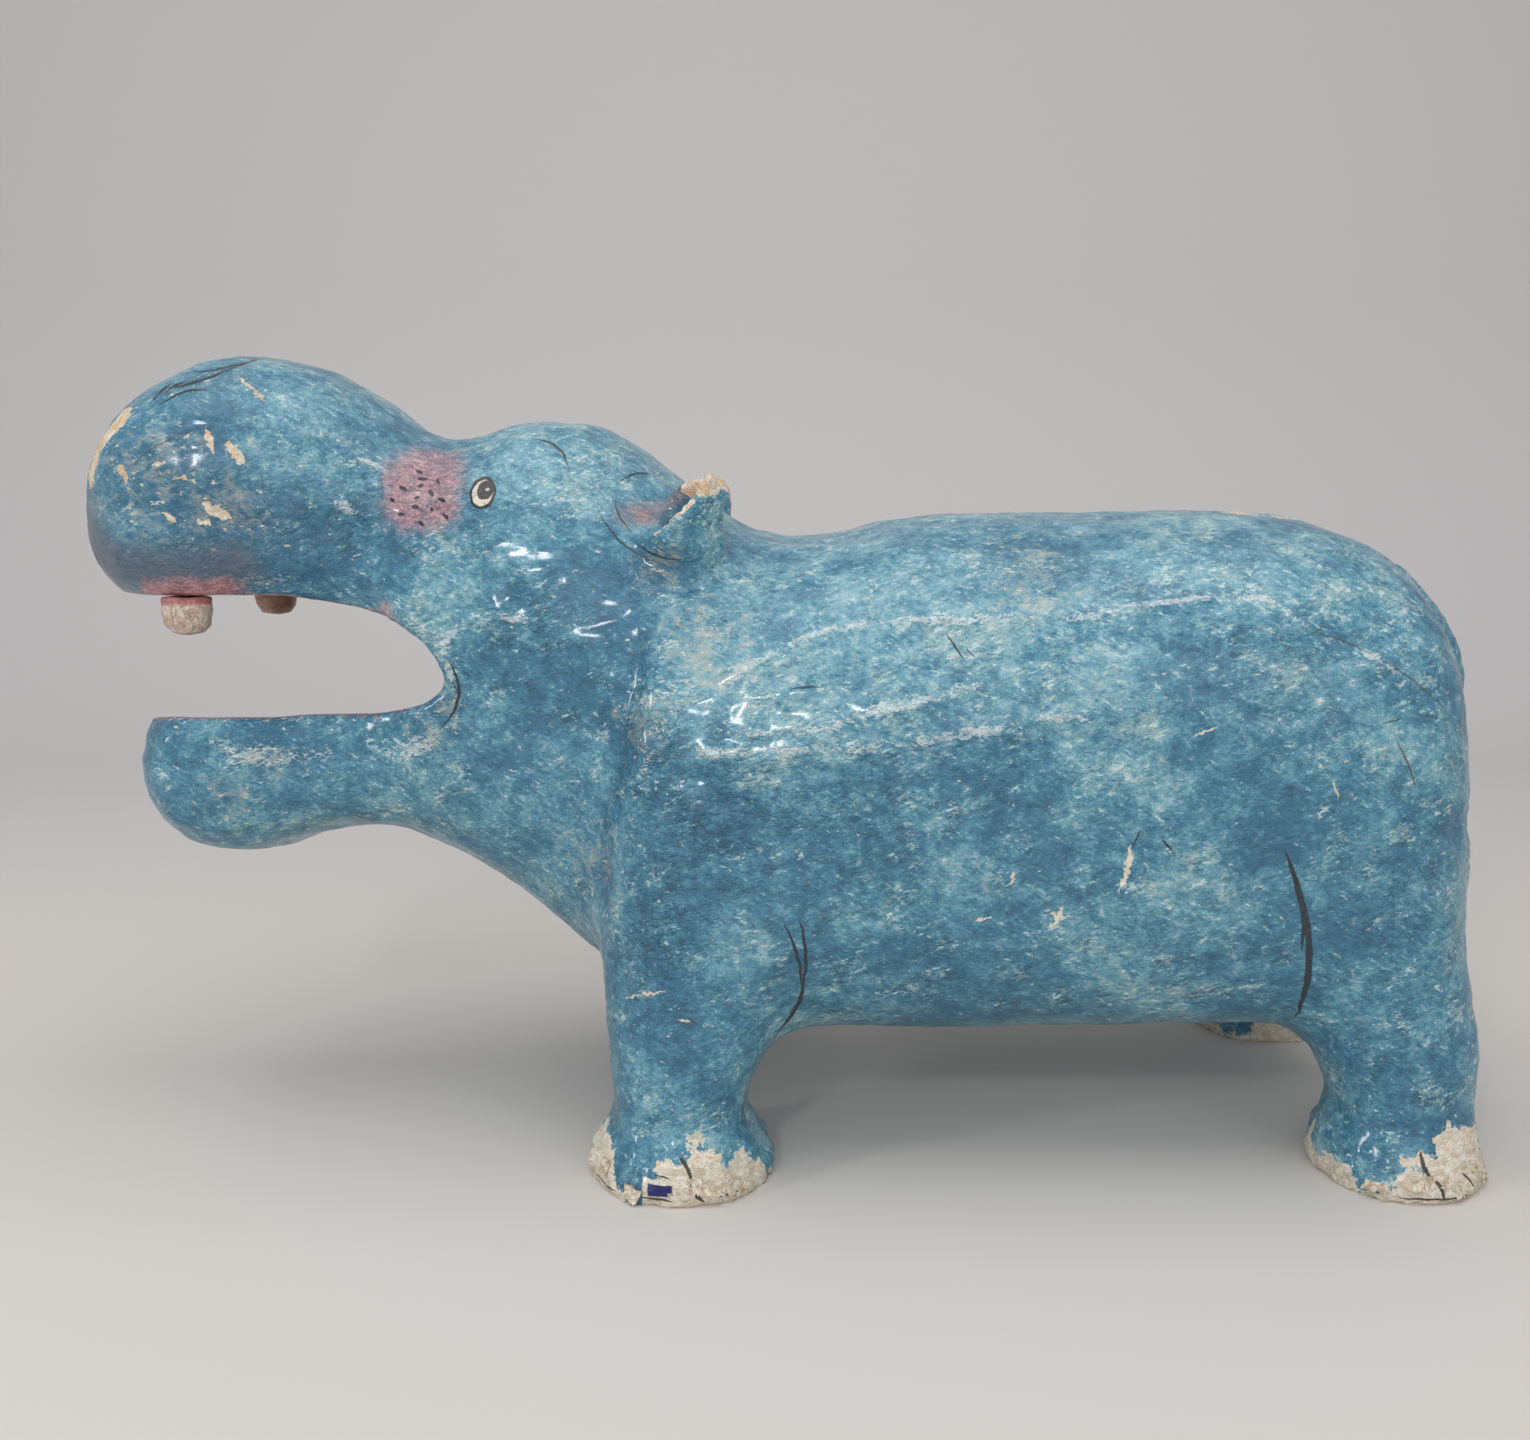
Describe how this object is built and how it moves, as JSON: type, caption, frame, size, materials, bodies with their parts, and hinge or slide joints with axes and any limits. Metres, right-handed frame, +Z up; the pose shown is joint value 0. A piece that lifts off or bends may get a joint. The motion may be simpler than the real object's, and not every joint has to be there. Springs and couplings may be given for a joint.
{
  "type": "papier-mache hippopotamus figure",
  "caption": "Decorative standing hippopotamus of painted papier-mache, with an open mouth and tusks, for display on a floor or a table.",
  "frame": {"origin": "middle of the outline in plan, at the level of the soles", "axes": "+X towards the tail, along the body; +Y towards the animal's right; +Z up"},
  "size_m": [0.6426, 0.2594, 0.3537],
  "materials": {
    "painted_paper": "varnished",
    "tusk_paste": "varnished"
  },
  "bodies": {
    "root": {"hippo": "painted_paper", "left_tusk": "tusk_paste", "right_tusk": "tusk_paste"}
  },
  "joints": []
}
